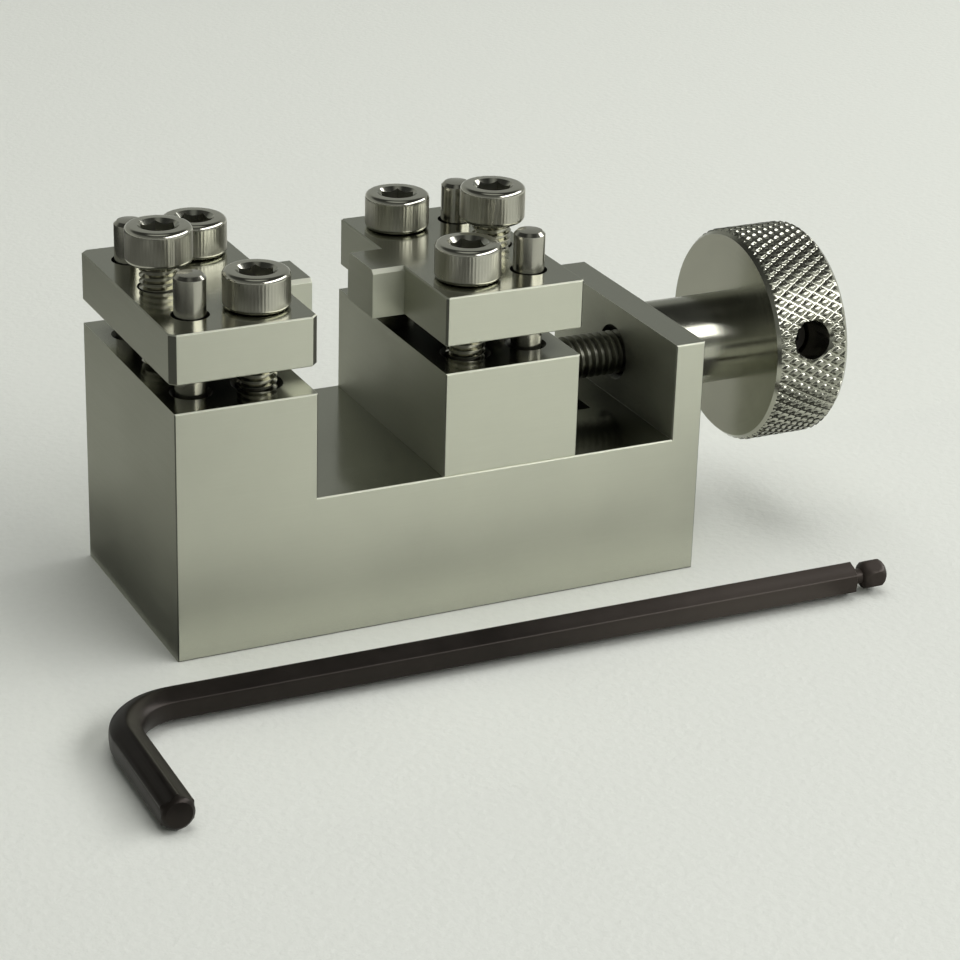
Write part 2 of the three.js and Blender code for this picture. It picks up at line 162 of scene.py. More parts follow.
# Fineness
SCREW_STEPS = 48
HEAD_STEPS = FLUTES * len(FLUTE_SHARES)
SPINDLE_STEPS = 72
PIN_STEPS = 72
ROUND_STEPS = 6
SHARP_ANGLE = math.radians(28)
MERGE_DISTANCE = 0.0005 * MM
CUT_MERGE_DISTANCE = 0.002 * MM

# Hexagons. Half a side is the angle round the middle from a side's middle to its corner.
HEXAGON_SIDES = 6
HALF_SIDE = math.pi / HEXAGON_SIDES


# Meshes

def make_piece(name, vertices, faces):
    """A named object from vertices and faces; vertices that fall together are merged."""
    body = bmesh.new()
    corners = [body.verts.new(v) for v in vertices]
    for face in faces:
        body.faces.new([corners[i] for i in face])
    bmesh.ops.remove_doubles(body, verts=body.verts, dist=MERGE_DISTANCE)
    bmesh.ops.recalc_face_normals(body, faces=body.faces)
    mesh = bpy.data.meshes.new(name)
    body.to_mesh(mesh)
    body.free()
    shade(mesh)
    piece = bpy.data.objects.new(name, mesh)
    bpy.context.scene.collection.objects.link(piece)
    return piece


def shade(mesh):
    """Smooth faces with sharp creases."""
    mesh.shade_smooth()
    mesh.set_sharp_from_angle(angle=SHARP_ANGLE)


def body_of(node):
    """The CAD body that holds a node."""
    groups = frame["record"]["behaviour"]["bodies"]
    return next(body for body, members in groups.items() if node in members)


def dress(piece, node, materials):
    """The piece rides on its CAD node's body, stands for the node and gets its materials."""
    for material in materials:
        piece.data.materials.append(material)
    body = body_of(node)
    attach(piece, body)
    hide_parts(node)


def circle(radius, height, steps):
    """One ring about Z. The radius may be a number or one number for each step."""
    angles = np.arange(steps) * 2 * np.pi / steps
    across = np.broadcast_to(radius, steps)
    up = np.broadcast_to(height, steps)
    return np.stack([across * np.cos(angles), across * np.sin(angles), up], axis=-1)


def arc(centre_radius, centre_height, radius, start, end):
    """Pairs of radius and height along an arc, both ends included."""
    angles = np.linspace(start, end, ROUND_STEPS + 1)
    return [(centre_radius + radius * math.cos(a), centre_height + radius * math.sin(a)) for a in angles]


def skin(rings, first=0, close_start=True, close_end=True):
    """Quads between rings of equal count, numbered from a first vertex, with flat ends."""
    steps = len(rings[0])
    faces = []
    for low in range(len(rings) - 1):
        a = first + low * steps
        b = a + steps
        faces += [(a + i, a + (i + 1) % steps, b + (i + 1) % steps, b + i) for i in range(steps)]
    if close_start:
        faces.append(tuple(first + i for i in range(steps)))
    if close_end:
        last = first + (len(rings) - 1) * steps
        faces.append(tuple(last + i for i in range(steps)))
    return faces


def fan(first, steps, tip):
    """Triangles from a ring to one vertex."""
    return [(first + i, first + (i + 1) % steps, tip) for i in range(steps)]


def along_x(vertices, start, height):
    """Turns vertices drawn along Z so that they run along +X from a start, at a height."""
    v = np.asarray(vertices)
    return np.stack([v[:, 2] + start, v[:, 1], height - v[:, 0]], axis=-1)


def thread(radius, pitch, low, high, low_radius, steps, run_out=False):
    """Vertices and faces of a right-hand thread about Z. Its lower end is chamfered to a smaller radius.
    Its upper end is chamfered alike, or runs out to the full radius. Both ends are left open."""
    turns = math.ceil((high - low) / pitch) + THREAD_SPARE_TURNS
    share = np.array([turn + place for turn in range(turns) for place, _ in THREAD_SHARES])
    depth = np.array([deep for _ in range(turns) for _, deep in THREAD_SHARES])
    angle_share = np.arange(steps) / steps
    height = low + pitch * (share[:, None] + angle_share[None, :] - 1)
    across = np.repeat(radius - depth[:, None] * THREAD_DEPTH_SHARE * pitch, steps, axis=1)
    height = np.clip(height, low, high)
    across = np.minimum(across, low_radius + height - low)
    if run_out:
        across = np.maximum(across, radius - (high - height))
    else:
        across = np.minimum(across, low_radius + high - height)
    angles = angle_share * 2 * np.pi
    vertices = np.stack([across * np.cos(angles), across * np.sin(angles), height], axis=-1)
    rows = len(THREAD_SHARES)
    faces = []
    for k in range(len(share) - 1 - rows):
        for i in range(steps):
            k_next, i_next = (k, i + 1) if i + 1 < steps else (k + rows, 0)
            faces.append((k * steps + i, k_next * steps + i_next,
                          (k_next + 1) * steps + i_next, (k + 1) * steps + i))
    return vertices.reshape(-1, 3), faces


def hexagon_radius(apothem, steps):
    """The hexagon's radius at each step round a ring, with corners on steps."""
    angles = np.arange(steps) * 2 * np.pi / steps
    from_middle = np.mod(angles, 2 * HALF_SIDE) - HALF_SIDE
    return apothem / np.cos(from_middle)


# Socket head screws

def screw_head_rings():
    """Rings of the head from its seat to the bottom of its socket, the seat at height zero."""
    fluted = HEAD_RADIUS - np.tile(FLUTE_SHARES, FLUTES) * FLUTE_DEPTH
    low = HEAD_SEAT_ROUND + FLUTE_RUN_OUT
    high = HEAD_HEIGHT - HEAD_ROUND - FLUTE_RUN_OUT
    rings = [circle(r, z, HEAD_STEPS) for r, z in
             arc(HEAD_RADIUS - HEAD_SEAT_ROUND, HEAD_SEAT_ROUND, HEAD_SEAT_ROUND, -math.pi / 2, 0)]
    rings += [circle(fluted, low, HEAD_STEPS), circle(fluted, high, HEAD_STEPS)]
    rings += [circle(r, z, HEAD_STEPS) for r, z in
              arc(HEAD_RADIUS - HEAD_ROUND, HEAD_HEIGHT - HEAD_ROUND, HEAD_ROUND, 0, math.pi / 2)]
    hexagon = hexagon_radius(SOCKET_ACROSS_FLATS / 2, HEAD_STEPS)
    mouth = hexagon.max() + SOCKET_LEAD_IN
    rings.append(circle(mouth, HEAD_HEIGHT, HEAD_STEPS))
    rings.append(circle(hexagon, HEAD_HEIGHT - (mouth - hexagon), HEAD_STEPS))
    rings.append(circle(hexagon, HEAD_HEIGHT - SOCKET_DEPTH, HEAD_STEPS))
    return rings


def socket_head_screw(name):
    """One screw with its thread, fluted head and hexagon socket, in the place of its CAD node. The
    inside of the socket gets the second material, a darker steel that is painted shade."""
    low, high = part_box(name)
    centre = (low + high) / 2
    seat = high.z - HEAD_HEIGHT
    shank, faces = thread(SCREW_RADIUS, SCREW_PITCH, low.z - seat, 0, SCREW_TIP_RADIUS, SCREW_STEPS,
                          run_out=True)
    tip_ring = circle(SCREW_TIP_RADIUS, low.z - seat, SCREW_STEPS)
    seat_ring = circle(SCREW_RADIUS, 0, SCREW_STEPS)
    rings = screw_head_rings()
    socket_point = [[0, 0, HEAD_HEIGHT - SOCKET_DEPTH - SOCKET_CONE_DEPTH]]
    vertices = np.concatenate([shank, tip_ring, seat_ring, *rings, socket_point])
    tip_first = len(shank)
    seat_first = tip_first + SCREW_STEPS
    head_first = seat_first + SCREW_STEPS
    bottom_first = head_first + (len(rings) - 1) * HEAD_STEPS
    faces.append(tuple(range(tip_first, seat_first)))
    ratio = HEAD_STEPS // SCREW_STEPS
    for i in range(SCREW_STEPS):
        outer = [head_first + (i * ratio + j) % HEAD_STEPS for j in range(ratio, -1, -1)]
        faces.append((seat_first + i, seat_first + (i + 1) % SCREW_STEPS, *outer))
    faces += skin(rings, head_first, close_start=False, close_end=False)
    faces += fan(bottom_first, HEAD_STEPS, len(vertices) - 1)
    turn = math.radians(SOCKET_TURNS[name])
    turned = vertices @ np.array(Matrix.Rotation(turn, 3, "Z")).T
    piece = make_piece(name + "_fine", turned + np.array([centre.x, centre.y, seat]), faces)
    socket_radius = SOCKET_ACROSS_FLATS / 2 / math.cos(HALF_SIDE)
    for face in piece.data.polygons:
        from_axis = math.hypot(face.center.x - centre.x, face.center.y - centre.y)
        in_height = seat < face.center.z < high.z - SOCKET_LEAD_IN
        face.material_index = int(from_axis < socket_radius and in_height)
    return piece


# Guide pins

def guide_pin(name):
    """A ground pin with chamfered ends, in the place of its CAD node."""
    low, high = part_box(name)
    centre = (low + high) / 2
    radius = (high.x - low.x) / 2
    length = high.z - low.z
    inner = PIN_CHAMFER - PIN_EDGE
    corner = [(0, PIN_CHAMFER), (PIN_EDGE_INSET, inner), (inner, PIN_EDGE_INSET), (PIN_CHAMFER, 0)]
    profile = [(radius - inset, place) for inset, place in reversed(corner)]
    profile += [(radius - inset, length - place) for inset, place in corner]
    rings = [circle(r, z, PIN_STEPS) for r, z in profile]
    vertices = np.concatenate(rings) + np.array([centre.x, centre.y, low.z])
    return make_piece(name + "_fine", vertices, skin(rings))


# Spindle and knob

def spindle_piece():
    """The threaded spindle with the plain nose and its groove inside the sliding jaw."""
    low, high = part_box("spindle")
    height = (low.z + high.z) / 2
    nose_end = SPINDLE_NOSE_LENGTH
    jaw_low, jaw_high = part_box("sliding_jaw")
    groove = (jaw_low.x + jaw_high.x) / 2 - low.x
    half = SPINDLE_GROOVE_LENGTH / 2
    small = SPINDLE_GROOVE_RADIUS
    nose = SPINDLE_NOSE_RADIUS
    chamfer = SPINDLE_NOSE_CHAMFER
    profile = [(nose - chamfer, 0), (nose, chamfer), (nose, groove - half), (small, groove - half),
               (small, groove + half), (nose, groove + half), (nose, nose_end),
               (SPINDLE_END_RADIUS, nose_end)]
    rings = [circle(r, z, SPINDLE_STEPS) for r, z in profile]
    faces = skin(rings, close_end=False)
    first = len(rings) * SPINDLE_STEPS
    shank, shank_faces = thread(SPINDLE_RADIUS, SPINDLE_PITCH, nose_end, high.x - low.x,
                                SPINDLE_END_RADIUS, SPINDLE_STEPS)
    faces += [tuple(first + i for i in face) for face in shank_faces]
    end_ring = circle(SPINDLE_END_RADIUS, high.x - low.x, SPINDLE_STEPS)
    end = first + len(shank)
    faces.append(tuple(range(end, end + SPINDLE_STEPS)))
    vertices = np.concatenate([*rings, shank, end_ring])
    return make_piece("spindle_fine", along_x(vertices, low.x, height), faces)


def knurl_radius(radius, thickness, row, steps):
    """The rim's radius round one row: round-topped diamonds between crossed grooves, cut by the
    chamfers at both edges."""
    round_place = np.arange(steps) / KNURL_STEPS
    across_place = row / KNURL_STEPS
    raised = 1
    for way in (round_place + across_place, round_place - across_place):
        from_groove = abs(way - np.round(way))
        wall = np.clip((from_groove - KNURL_FLOOR_SHARE) / KNURL_WALL_SHARE, 0, 1)
        # A smooth step up from the groove
        raised = raised * wall * wall * (3 - 2 * wall)
    knurled = radius - KNURL_DEPTH * (1 - raised)
    place = thickness * row / KNURL_ROWS
    from_edge = min(place, thickness - place)
    chamfer = radius - KNOB_CHAMFER * (1 - from_edge / KNOB_CHAMFER_LENGTH)
    return np.minimum(knurled, chamfer)


def knurl_faces(first, steps):
    """Triangles of the rim whose diagonals follow the groove that is nearest."""
    faces = []
    for row in range(KNURL_ROWS):
        for i in range(steps):
            a = first + row * steps + i
            b = first + row * steps + (i + 1) % steps
            c = b + steps
            d = a + steps
            one_way = (i + row + 1) / KNURL_STEPS
            other_way = (i - row) / KNURL_STEPS
            if abs(one_way - round(one_way)) < abs(other_way - round(other_way)):
                faces += [(a, b, d), (b, c, d)]
            else:
                faces += [(a, b, c), (a, c, d)]
    return faces


def knob_piece():
    """The knob: a plain hub and a knurled disc, with a blind bore and one radial hole."""
    low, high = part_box("knob")
    height = (low.z + high.z) / 2
    radius = (high.z - low.z) / 2
    thickness = high.x - low.x - HUB_LENGTH
    steps = KNURLS_ROUND * KNURL_STEPS
    face = HUB_LENGTH
    bore = KNOB_BORE_RADIUS
    profile = [(bore, KNOB_BORE_DEPTH), (bore, HUB_CHAMFER), (bore + HUB_CHAMFER, 0),
               (HUB_RADIUS - HUB_CHAMFER, 0), (HUB_RADIUS, HUB_CHAMFER), (HUB_RADIUS, face)]
    rings = [circle(r, z, steps) for r, z in profile]
    first = len(rings) * steps
    rim = []
    for row in range(KNURL_ROWS + 1):
        across = knurl_radius(radius, thickness, row, steps)
        rim.append(circle(across, face + thickness * row / KNURL_ROWS, steps))
    back = first + KNURL_ROWS * steps
    faces = skin([*rings, rim[0]], close_end=False)
    faces += knurl_faces(first, steps)
    faces.append(tuple(range(back, back + steps)))
    vertices = np.concatenate([*rings, *rim])
    piece = make_piece("knob_fine", along_x(vertices, low.x, height), faces)
    cut_knob_hole(piece, Vector((low.x + face + KNOB_HOLE_INSET, 0, height)), radius)
    return piece


def cut_knob_hole(piece, centre, radius):
    """Cuts the radial hole, with a chamfered rim, from the bore outwards."""
    rim = radius - KNOB_HOLE_CHAMFER - KNURL_DEPTH / 2
    flare = radius + KNOB_HOLE_OVERRUN - rim
    profile = [(KNOB_HOLE_RADIUS, SPINDLE_RADIUS), (KNOB_HOLE_RADIUS, rim),
               (KNOB_HOLE_RADIUS + flare, rim + flare)]
    rings = [circle(r, z, PIN_STEPS) for r, z in profile]
    cutter = make_piece("cutter", np.concatenate(rings), skin(rings))
    turn = Matrix.Rotation(math.pi / 2 - KNOB_HOLE_LIFT, 4, "X")
    cutter.matrix_world = Matrix.Translation(centre) @ turn
    cut = piece.modifiers.new("hole", "BOOLEAN")
    cut.object = cutter
    cut.solver = "EXACT"
    evaluated = piece.evaluated_get(bpy.context.evaluated_depsgraph_get())
    mesh = bpy.data.meshes.new_from_object(evaluated)
    piece.modifiers.remove(cut)
    piece.data = mesh
    mesh.name = piece.name
    bpy.data.objects.remove(cutter)
    body = bmesh.new()
    body.from_mesh(mesh)
    bmesh.ops.dissolve_degenerate(body, edges=body.edges, dist=CUT_MERGE_DISTANCE)
    body.to_mesh(mesh)
    body.free()
    shade(mesh)


# Hex key

def key_section():
    """Angles round the bar and its radius there: a hexagon with slightly broken corners."""
    angles = [HALF_SIDE * (2 * side + share) for side in range(HEXAGON_SIDES) for share in KEY_SIDE_SHARES]
    apothem = KEY_ACROSS_FLATS / 2
    corner = apothem / math.cos(HALF_SIDE)
    radii = []
    for angle in angles:
        from_middle = (angle + HALF_SIDE) % (2 * HALF_SIDE) - HALF_SIDE
        radii.append(min(apothem / math.cos(from_middle), corner * KEY_CORNER_SHARE))
    return np.array(angles), np.array(radii)


def key_ring(centre, outward, angles, radii):
    """One ring of the key round a point of its middle line. Outward lies flat, across the bar."""
    flat = np.cos(angles) * radii
    ring = centre + flat[:, None] * np.array(outward)
    ring[:, 2] += np.sin(angles) * radii
    return ring


def key_ball_radius(place):
    """The ball end's radius of revolution at a place along it, from its neck to its flat tip."""
    widest = KEY_BALL_WIDTH / 2 / math.cos(HALF_SIDE)
    from_middle = abs(2 * place / KEY_BALL_LENGTH - 1) * KEY_BALL_END_PLACE
    return widest * (1 - from_middle ** KEY_BALL_POWER) ** (1 / KEY_BALL_POWER)


def key_rings():
    """Rings from the short end, round the bend, along the long arm and over the ball end."""
    angles, radii = key_section()
    apothem = KEY_ACROSS_FLATS / 2
    bend = KEY_BEND_RADIUS
    rings = []
    end = [(KEY_END_CHAMFER * along, apothem - KEY_END_CUT * cut) for along, cut in KEY_END_SHARES]
    for inset, limit in [*end, (KEY_END_CHAMFER, radii.max())]:
        centre = np.array([0, inset - KEY_SHORT_ARM, 0])
        rings.append(key_ring(centre, (-1, 0, 0), angles, np.minimum(radii, limit)))
    for step in range(KEY_BEND_STEPS + 1):
        share = step / KEY_BEND_STEPS
        angle = math.pi - share * math.pi / 2
        outward = np.array([math.cos(angle), math.sin(angle), 0])
        centre = np.array([bend, -bend, 0]) + bend * outward
        worn = KEY_BEND_ROUND_SHARE * math.sin(share * math.pi)
        rounded = radii * (1 - worn) + radii.mean() * worn
        rings.append(key_ring(centre, outward, angles, rounded))
    shoulder = KEY_LONG_ARM - KEY_BALL_LENGTH - KEY_NECK_LENGTH
    outward = (0, 1, 0)
    for place, limit in [(shoulder - KEY_NECK_SLOPE, radii.max()), (shoulder, apothem),
                         (shoulder, KEY_NECK_RADIUS), (shoulder + KEY_NECK_LENGTH, KEY_NECK_RADIUS)]:
        rings.append(key_ring(np.array([place, 0, 0]), outward, angles, np.minimum(radii, limit)))
    facets = radii * KEY_BALL_WIDTH / KEY_ACROSS_FLATS
    ball_start = KEY_LONG_ARM - KEY_BALL_LENGTH
    for step in range(KEY_BALL_STEPS + 1):
        place = KEY_BALL_LENGTH * (1 - math.cos(math.pi * step / KEY_BALL_STEPS)) / 2
        radii_here = np.minimum(facets, key_ball_radius(place))
        rings.append(key_ring(np.array([ball_start + place, 0, 0]), outward, angles, radii_here))
    return rings


def hex_key_piece():
    """The L-shaped key, lying on one edge in front of the block."""
    block_low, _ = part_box("base_block")
    low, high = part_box("hex_key")
    corner = np.array([block_low.x - KEY_LEFT_OF_BLOCK, block_low.y - KEY_AHEAD_OF_BLOCK,
                       (low.z + high.z) / 2])
    rings = key_rings()
    vertices = np.concatenate(rings) @ np.array(Matrix.Rotation(KEY_TURN, 3, "Z")).T
    return make_piece("hex_key_fine", vertices + corner, skin(rings))


# Materials. Pairs are the two ends of a range.

METAL = 1
NOT_METAL = 0
UNIT_RANGE = (0, 1)
NOISE_RANGE = (0.3, 0.7)
# What fine lines add to a roughness
LINE_ROUGHNESS = (-0.03, 0.03)

# Noises: lumps to a metre along each axis, octaves of detail, roughness of the detail
GROUND_SIDE_LINES = ((120, 120, 5000), 3, 0.5)
GROUND_TOP_LINES = ((120, 5000, 120), 3, 0.5)
GROUND_GRAIN = ((9000, 9000, 9000), 2, 0.5)
GROUND_SMUDGE = ((90, 90, 90), 4, 0.6)
SCREW_LINES = ((120, 120, 10000), 3, 0.5)
SCREW_SMUDGE = ((360, 360, 360), 4, 0.6)
TOOL_MARKS = ((5000, 5000, 5000), 3, 0.6)
TURNED_SMUDGE = ((180, 180, 180), 4, 0.6)
BLACK_GRAIN = ((4500, 4500, 4500), 3, 0.5)
BLACK_PATCHES = ((180, 180, 180), 5, 0.65)
FLOOR_GRAIN = ((900, 900, 900), 3, 0.5)

# Edges, found by the cosine between the flat normal and the rounded one
EDGE_ROUND = 0.06 * MM
EDGE_SAMPLES = 6
EDGE_COSINES = (0.995, 0.9)

# Painted shade: recesses darkened by how open a place lies
RECESS_REACH = 20 * MM
RECESS_SAMPLES = 12
RECESS_OPENNESS = (0.1, 0.45)
RECESS_SHADE_TONES = (0.12, 1)

# Ground steel. Each limit is for a part of the normal, the slant's for the product of both level parts.
GROUND_COLOR = (0.68, 0.69, 0.58)
GROUND_UPWARD_LIMIT = 0.8
GROUND_ENDWARD_LIMIT = 0.7
GROUND_SLANT_LIMIT = 0.3
GROUND_SIDE_ROUGHNESS = (0.48, 0.56)
GROUND_TOP_ROUGHNESS = (0.12, 0.2)
GROUND_EDGE_ROUGHNESS = 0.32
GROUND_SMUDGE_RANGE = (0.25, 0.75)
GROUND_SMUDGE_TONES = (0.93, 1)
# Painted light by the face's direction: end, top and slanting faces are painted darker as shade, edges
# brighter as a highlight
GROUND_END_SHADE_TONE = 0.72
GROUND_TOP_SHADE_TONE = 0.62
GROUND_SLANT_SHADE_TONE = 0.25
GROUND_EDGE_HIGHLIGHT_TONE = 1.25
GROUND_LINE_BUMP = 0.0006 * MM
GROUND_GRAIN_BUMP = 0.0004 * MM

# Polished screws and pins. The tilts are upward parts of the normal, from an upright side to an end.
SCREW_TILTS = (0.05, 0.3)
SCREW_SMUDGE_ROUGHNESS = (-0.04, 0.04)
SCREW_SMUDGE_RANGE = (0.3, 0.75)
SCREW_SMUDGE_TONES = (0.88, 1)
SCREW_SIDE_SHADE_TONE = 0.86
SCREW_LINE_BUMP = 0.0005 * MM

# Turned steel. The knurls' tops are painted darker as shade, so that the grooves read lighter; they begin
# and are full at shares of their depth below the rim.
TURNED_SMUDGE_TONES = (0.9, 1)
TURNED_ANISOTROPY = 0.6
TURNED_ANISOTROPY_TURN = 0.25
TURNED_MARK_BUMP = 0.0008 * MM
KNURL_TOP_START = 1 / 2
KNURL_TOP_FULL = 1 / 8
KNURL_TOP_SHADE_TONE = 0.75

# Blackened steel
BLACK_SPECULAR_TINT = (1, 0.87, 0.78)
BLACK_SPECULAR_LEVEL = 0.3
BLACK_PATCH_RANGE = (0.35, 0.7)
BLACK_PATCH_SHARES = (0, 0.15)
BLACK_PALE_END_SHARES = (0, 1.6)
BLACK_GRAIN_BUMP = 0.002 * MM

# Floor
FLOOR_COLOR_LOW = (0.74, 0.755, 0.7)
FLOOR_COLOR_HIGH = (0.78, 0.795, 0.74)
FLOOR_ROUGHNESS = 0.7
FLOOR_BUMP = 0.1 * MM


class Nodes:
    """Short calls that add nodes to a node tree."""

    def __init__(self, tree):
        self.nodes = tree.nodes
        self.links = tree.links

    def link(self, value, socket):
        """Links an output, or sets a plain number, vector or colour."""
        if isinstance(value, bpy.types.NodeSocket):
            self.links.new(value, socket)
        elif socket.type == "RGBA":
            socket.default_value = (*value, 1)
        else:
            socket.default_value = value

    def place(self, output):
        """One of the texture coordinates, such as the object's own or its normal."""
        return self.nodes.new("ShaderNodeTexCoord").outputs[output]

    def math(self, operation, *values):
        """One operation on plain numbers or outputs."""
        node = self.nodes.new("ShaderNodeMath")
        node.operation = operation
        for socket, value in zip(node.inputs, values):
            self.link(value, socket)
        return node.outputs[0]

    def is_over(self, value, limit):
        """One where a value is over a limit, otherwise zero."""
        return self.math("GREATER_THAN", value, limit)

    def split(self, vector):
        """The three parts of a vector."""
        node = self.nodes.new("ShaderNodeSeparateXYZ")
        self.link(vector, node.inputs[0])
        return node.outputs

    def combine(self, *values):
        """A vector from three parts."""
        node = self.nodes.new("ShaderNodeCombineXYZ")
        for socket, value in zip(node.inputs, values):
            self.link(value, socket)
        return node.outputs[0]

    def noise(self, rates, detail, roughness, place=None):
        """Noise from about 0 to 1 in the object's own coordinates, or in others that are given."""
        scaled = self.nodes.new("ShaderNodeVectorMath")
        scaled.operation = "MULTIPLY"
        self.link(self.place("Object") if place is None else place, scaled.inputs[0])
        self.link(rates, scaled.inputs[1])
        node = self.nodes.new("ShaderNodeTexNoise")
        settings = {"Vector": scaled.outputs[0], "Scale": 1, "Detail": detail, "Roughness": roughness}
        for name, value in settings.items():
            self.link(value, node.inputs[name])
        return node.outputs["Fac"]

    def spread(self, value, source, target):
        """A value moved from one range to another, and kept inside it."""
        node = self.nodes.new("ShaderNodeMapRange")
        for socket, number in zip(node.inputs, (value, *source, *target)):
            self.link(number, socket)
        return node.outputs[0]

    def blend(self, share, a, b):
        """Two numbers or colours mixed by a share."""
        node = self.nodes.new("ShaderNodeMix")
        is_color = isinstance(a, (tuple, bpy.types.NodeSocketColor))
        node.data_type = "RGBA" if is_color else "FLOAT"
        sockets = [s for s in node.inputs if s.enabled]
        for socket, value in zip(sockets, (share, a, b)):
            self.link(value, socket)
        return next(s for s in node.outputs if s.enabled)

    def ramp(self, value, stops, tint):
        """Tinted greys by a value, from pairs of value and grey."""
        node = self.nodes.new("ShaderNodeValToRGB")
        points = node.color_ramp.elements
        for position, _ in stops[1:-1]:
            points.new(position)
        for point, (position, grey) in zip(points, stops):
            point.position = position
            point.color = (*(grey * share for share in tint), 1)
        self.link(value, node.inputs[0])
        return node.outputs[0]


class Paint(Nodes):
    """A node material with one Principled shader."""

    def __init__(self, name, color, metallic, roughness):
        self.material = bpy.data.materials.new(name)
        self.material.use_nodes = True
        super().__init__(self.material.node_tree)
        self.shader = self.nodes["Principled BSDF"]
        self.set(Base_Color=color, Metallic=metallic, Roughness=roughness)

    def set(self, **sockets):
        """Links or sets the shader's sockets, with underscores for spaces."""
        for name, value in sockets.items():
            self.link(value, self.shader.inputs[name.replace("_", " ")])
        return self.material

    def tinted(self, tone, color):
        """A colour times a tone."""
        node = self.nodes.new("ShaderNodeVectorMath")
        node.operation = "SCALE"
        self.link(color, node.inputs[0])
        self.link(tone, node.inputs["Scale"])
        return node.outputs[0]

    def rounded(self):
        """The normal of slightly rounded edges."""
        node = self.nodes.new("ShaderNodeBevel")
        node.samples = EDGE_SAMPLES
        self.link(EDGE_ROUND, node.inputs["Radius"])
        return node.outputs[0]

    def edge_share(self, rounded):
        """One on an edge and zero on a flat, from the normal of the rounded edges."""
        node = self.nodes.new("ShaderNodeVectorMath")
        node.operation = "DOT_PRODUCT"
        self.link(rounded, node.inputs[0])
        self.link(self.nodes.new("ShaderNodeNewGeometry").outputs["True Normal"], node.inputs[1])
        return self.spread(node.outputs["Value"], EDGE_COSINES, UNIT_RANGE)

    def openness(self):
        """One where a face lies open and near zero deep between close faces."""
        node = self.nodes.new("ShaderNodeAmbientOcclusion")
        node.samples = RECESS_SAMPLES
        self.link(RECESS_REACH, node.inputs["Distance"])
        return node.outputs["AO"]

    def bump(self, height, distance, below=None):
        """Height from 0 to 1 as a bump of a distance in metres, on top of another normal."""
        node = self.nodes.new("ShaderNodeBump")
        self.link(distance, node.inputs["Distance"])
        self.link(height, node.inputs["Height"])
        if below is not None:
            self.link(below, node.inputs["Normal"])
        return node.outputs["Normal"]


def ground_steel(name):
    """Surface ground steel: fine lines along the block, smoother top faces, edges painted brighter as a
    highlight, end, top and slanting faces painted darker as shade, and painted shade deep between close
    faces."""
    paint = Paint(name, GROUND_COLOR, METAL, GROUND_EDGE_ROUGHNESS)
    normal = paint.split(paint.place("Normal"))
    upwards = paint.is_over(normal[2], GROUND_UPWARD_LIMIT)
    endwards = paint.is_over(paint.math("ABSOLUTE", normal[0]), GROUND_ENDWARD_LIMIT)
    both_ways = paint.math("ABSOLUTE", paint.math("MULTIPLY", normal[0], normal[1]))
    slanting = paint.is_over(both_ways, GROUND_SLANT_LIMIT)
    lines = paint.blend(upwards, paint.noise(*GROUND_SIDE_LINES), paint.noise(*GROUND_TOP_LINES))
    smudge = paint.noise(*GROUND_SMUDGE)
    rounded = paint.rounded()
    edge = paint.edge_share(rounded)

    side_rough = paint.spread(smudge, NOISE_RANGE, GROUND_SIDE_ROUGHNESS)
    top_rough = paint.spread(smudge, NOISE_RANGE, GROUND_TOP_ROUGHNESS)
    rough = paint.blend(upwards, side_rough, top_rough)
    rough = paint.math("ADD", rough, paint.spread(lines, NOISE_RANGE, LINE_ROUGHNESS))
    rough = paint.blend(edge, rough, GROUND_EDGE_ROUGHNESS)

    # Painted shade on end, top and slanting faces and a painted highlight on edges, chosen by the face's
    # direction
    face = paint.blend(upwards, paint.blend(endwards, 1, GROUND_END_SHADE_TONE), GROUND_TOP_SHADE_TONE)
    face = paint.blend(edge, paint.blend(slanting, face, GROUND_SLANT_SHADE_TONE), GROUND_EDGE_HIGHLIGHT_TONE)
    tone = paint.math("MULTIPLY", paint.spread(smudge, GROUND_SMUDGE_RANGE, GROUND_SMUDGE_TONES), face)
    # Painted shade: darker deep between close faces
    tone = paint.math("MULTIPLY", tone, paint.spread(paint.openness(), RECESS_OPENNESS, RECESS_SHADE_TONES))

    bump = paint.bump(lines, GROUND_LINE_BUMP, rounded)
    bump = paint.bump(paint.noise(*GROUND_GRAIN), GROUND_GRAIN_BUMP, bump)
    return paint.set(Base_Color=paint.tinted(tone, GROUND_COLOR), Roughness=rough, Normal=bump)


def bright_steel(name, color, roughness, side_roughness):
    """Polished screws and pins with faint turning lines, satin and painted darker as shade on their
    upright sides.
    """
    paint = Paint(name, color, METAL, roughness)
    smudge = paint.noise(*SCREW_SMUDGE)
    normal = paint.split(paint.place("Normal"))
    tilted = paint.spread(paint.math("ABSOLUTE", normal[2]), SCREW_TILTS, UNIT_RANGE)
    rough = paint.math("ADD", paint.blend(tilted, side_roughness, roughness),
                       paint.spread(smudge, NOISE_RANGE, SCREW_SMUDGE_ROUGHNESS))
    # Painted shade: the upright sides are darker than the ends
    tone = paint.math("MULTIPLY", paint.spread(smudge, SCREW_SMUDGE_RANGE, SCREW_SMUDGE_TONES),
                      paint.blend(tilted, SCREW_SIDE_SHADE_TONE, 1))
    bump = paint.bump(paint.noise(*SCREW_LINES), SCREW_LINE_BUMP)
    return paint.set(Base_Color=paint.tinted(tone, color), Roughness=rough, Normal=bump)


